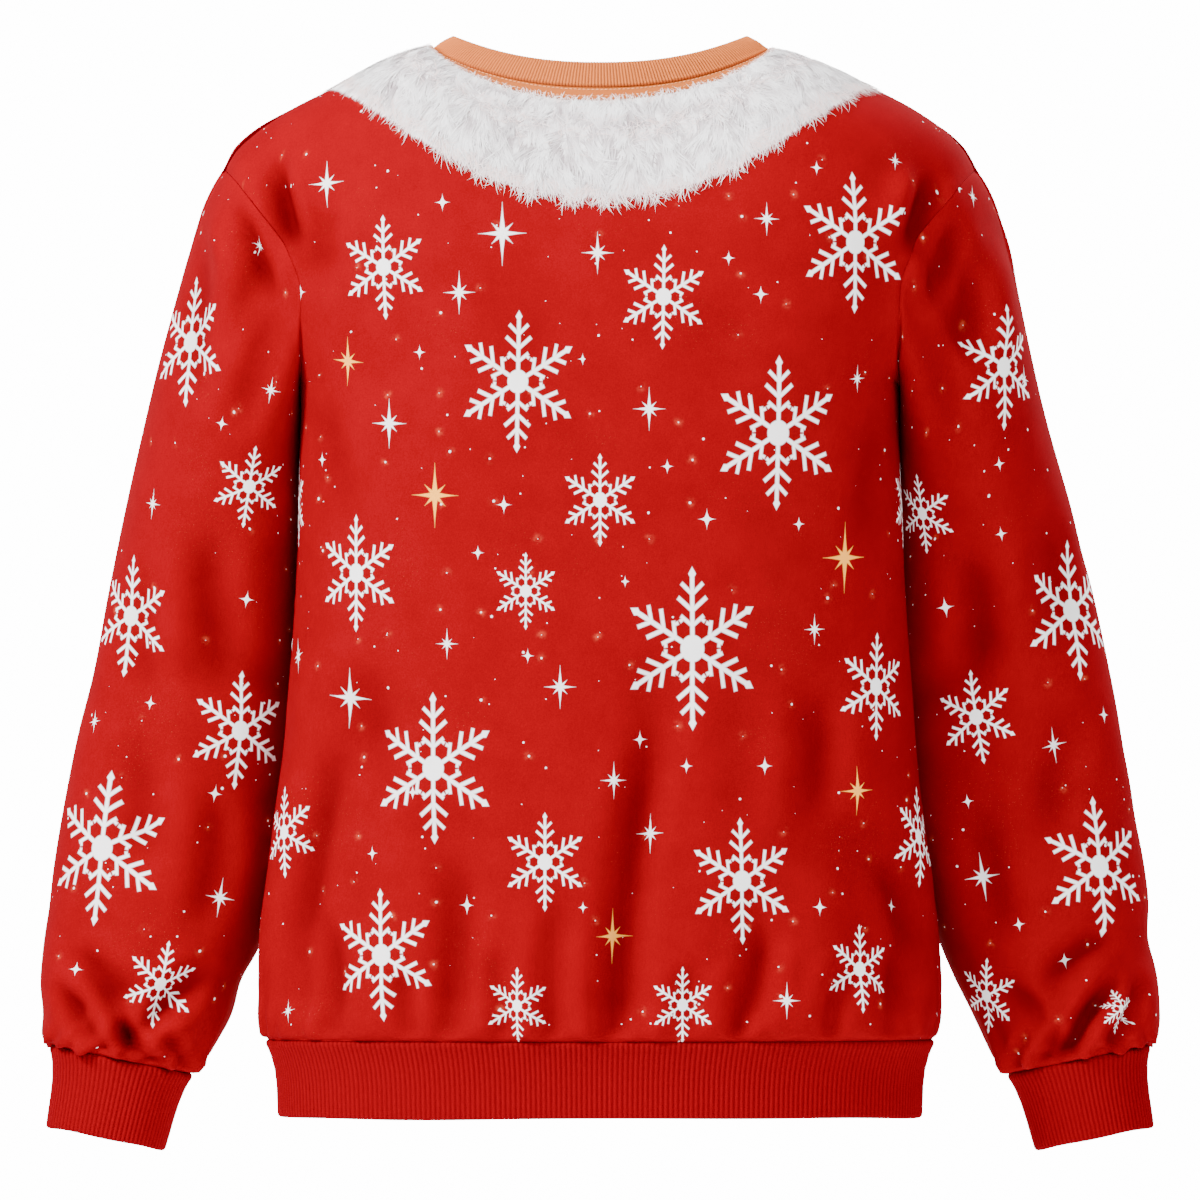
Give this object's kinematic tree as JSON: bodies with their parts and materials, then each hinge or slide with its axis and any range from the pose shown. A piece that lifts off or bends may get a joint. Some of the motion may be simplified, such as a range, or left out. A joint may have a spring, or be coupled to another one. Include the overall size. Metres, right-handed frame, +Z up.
{
  "type": "christmas sweatshirt",
  "caption": "Crew-neck pullover sweatshirt, filled out and hollow, with set-in long sleeves, ribbed cuffs, hem and neckband, and a winter print.",
  "frame": {"origin": "middle of the neck, level with the points where the shoulder seams meet the neck rib", "axes": "+Z up the wearer, +Y the way the wearer faces, +X to the wearer's right"},
  "size_m": [0.7324, 0.2497, 0.7278],
  "materials": {
    "red_fleece": "brushed fleece with a printed winter pattern",
    "red_rib": "rib knit",
    "peach_rib": "rib knit"
  },
  "bodies": {
    "root": {"back": "red_fleece", "front": "red_fleece", "sleeve_left": "red_fleece", "sleeve_right": "red_fleece", "hem_rib": "red_rib", "cuff_left": "red_rib", "cuff_right": "red_rib", "neck_rib": "peach_rib"}
  },
  "joints": []
}
